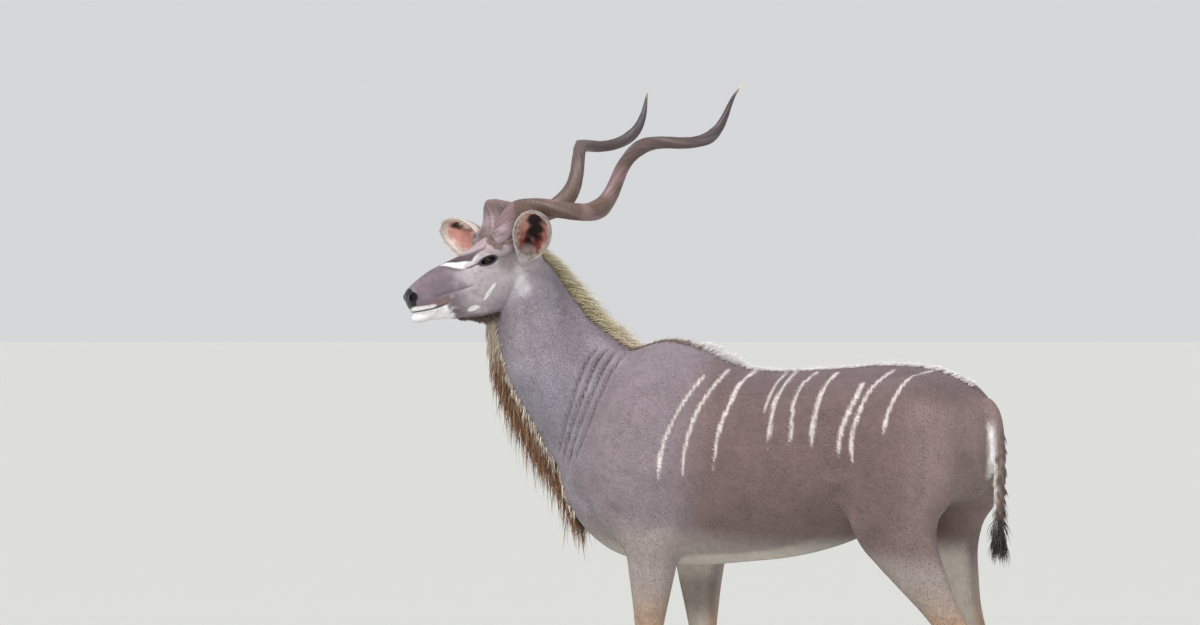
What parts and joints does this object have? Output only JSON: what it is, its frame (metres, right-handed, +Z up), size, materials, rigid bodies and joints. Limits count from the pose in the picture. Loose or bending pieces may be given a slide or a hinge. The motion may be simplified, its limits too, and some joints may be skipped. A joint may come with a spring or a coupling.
{
  "type": "greater kudu bull figure",
  "caption": "Life-size standing greater kudu bull with corkscrew horns, its head turned to its left.",
  "frame": {"origin": "centre of the footprint of the bounding box, on the floor plane under the hooves", "axes": "+Z up, -Y the way the body faces, +X the animal's left, to which the head is turned"},
  "size_m": [0.9706, 1.8374, 2.1538],
  "materials": {
    "coat": "short grey-brown fur with white stripes, a white spinal crest, and a long tan and dark throat fringe",
    "eye": "polished, near black",
    "horn": "brown-grey horn, ringed and keeled, with pale tips",
    "hoof": "dark satin hoof"
  },
  "bodies": {
    "root": {"head": "coat", "eye_left": "eye", "eye_right": "eye", "horn_left": "horn", "horn_right": "horn", "ear_left": "coat", "ear_right": "coat", "neck": "coat", "chest": "coat", "barrel": "coat", "hindquarters": "coat", "tail": "coat", "foreleg_left_upper": "coat", "foreleg_left_lower": "coat", "foreleg_left_claw_outer": "hoof", "foreleg_left_claw_inner": "hoof", "hindleg_left_upper": "coat", "hindleg_left_lower": "coat", "hindleg_left_claw_outer": "hoof", "hindleg_left_claw_inner": "hoof", "foreleg_right_upper": "coat", "foreleg_right_lower": "coat", "foreleg_right_claw_outer": "hoof", "foreleg_right_claw_inner": "hoof", "hindleg_right_upper": "coat", "hindleg_right_lower": "coat", "hindleg_right_claw_outer": "hoof", "hindleg_right_claw_inner": "hoof"}
  },
  "joints": []
}
